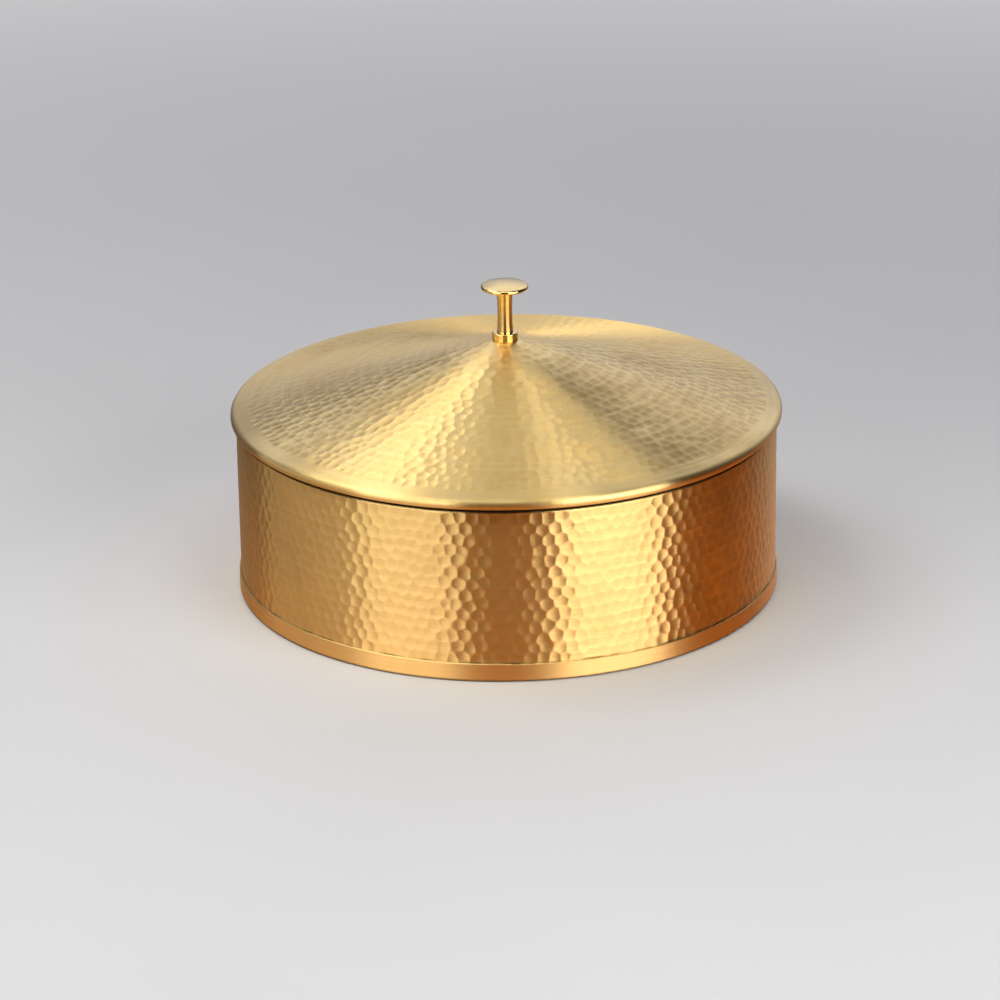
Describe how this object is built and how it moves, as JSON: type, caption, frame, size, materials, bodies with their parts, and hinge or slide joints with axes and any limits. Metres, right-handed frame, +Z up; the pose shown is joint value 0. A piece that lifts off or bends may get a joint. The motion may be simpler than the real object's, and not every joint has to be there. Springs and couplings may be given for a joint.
{
  "type": "spice box",
  "caption": "Round hammered spice box (masala dabba): shallow conical lift-off lid with a small turned knob, plain foot band, loose bowls and a spoon inside.",
  "frame": {"origin": "centre of the flat underside of the base pan", "axes": "+Z up along the box's own axis of turning; +X to the right and +Y to the back, with the first ring bowl at +X"},
  "size_m": [0.22, 0.22, 0.1246],
  "materials": {
    "brass_hammered": "hand hammered with a ball-faced hammer, satin polish",
    "brass_plain": "spun, fine lathe lines",
    "brass_unpolished": "unpolished, darker",
    "brass_polished": "turned and polished",
    "brass_bowl": "spun, satin polish",
    "screw_steel": "plated steel"
  },
  "bodies": {
    "box": {"base_pan": "brass_plain", "body_wall": "brass_hammered"},
    "lid": {"lid_cone": "brass_hammered", "lid_collar": "brass_unpolished", "knob": "brass_polished", "knob_collar": "brass_polished", "knob_washer": "screw_steel", "knob_screw": "screw_steel"},
    "bowl_centre_cup": {"bowl_centre": "brass_bowl"},
    "bowl_1_cup": {"bowl_1": "brass_bowl"},
    "bowl_2_cup": {"bowl_2": "brass_bowl"},
    "bowl_3_cup": {"bowl_3": "brass_bowl"},
    "bowl_4_cup": {"bowl_4": "brass_bowl"},
    "bowl_5_cup": {"bowl_5": "brass_bowl"},
    "bowl_6_cup": {"bowl_6": "brass_bowl"},
    "spoon_piece": {"spoon": "brass_polished"}
  },
  "joints": [
    {"name": "lid_lift", "type": "slide", "parent": "box", "child": "lid", "axis": [0, 0, 1], "range_m": [0, 0.11]},
    {"name": "bowl_centre_lift", "type": "slide", "parent": "box", "child": "bowl_centre_cup", "axis": [0, 0, 1], "range_m": [0, 0.0716]},
    {"name": "bowl_1_lift", "type": "slide", "parent": "box", "child": "bowl_1_cup", "axis": [0, 0, 1], "range_m": [0, 0.0716]},
    {"name": "bowl_2_lift", "type": "slide", "parent": "box", "child": "bowl_2_cup", "axis": [0, 0, 1], "range_m": [0, 0.0716]},
    {"name": "bowl_3_lift", "type": "slide", "parent": "box", "child": "bowl_3_cup", "axis": [0, 0, 1], "range_m": [0, 0.0716]},
    {"name": "bowl_4_lift", "type": "slide", "parent": "box", "child": "bowl_4_cup", "axis": [0, 0, 1], "range_m": [0, 0.0716]},
    {"name": "bowl_5_lift", "type": "slide", "parent": "box", "child": "bowl_5_cup", "axis": [0, 0, 1], "range_m": [0, 0.0716]},
    {"name": "bowl_6_lift", "type": "slide", "parent": "box", "child": "bowl_6_cup", "axis": [0, 0, 1], "range_m": [0, 0.0716]},
    {"name": "spoon_lift", "type": "slide", "parent": "box", "child": "spoon_piece", "axis": [0, 0, 1], "range_m": [0, 0.0936]}
  ],
  "couplings": [
    {"joint": "bowl_centre_lift", "follows": "lid_lift", "ratio": 0.65},
    {"joint": "bowl_1_lift", "follows": "lid_lift", "ratio": 0.65},
    {"joint": "bowl_2_lift", "follows": "lid_lift", "ratio": 0.65},
    {"joint": "bowl_3_lift", "follows": "lid_lift", "ratio": 0.65},
    {"joint": "bowl_4_lift", "follows": "lid_lift", "ratio": 0.65},
    {"joint": "bowl_5_lift", "follows": "lid_lift", "ratio": 0.65},
    {"joint": "bowl_6_lift", "follows": "lid_lift", "ratio": 0.65},
    {"joint": "spoon_lift", "follows": "lid_lift", "ratio": 0.85}
  ]
}
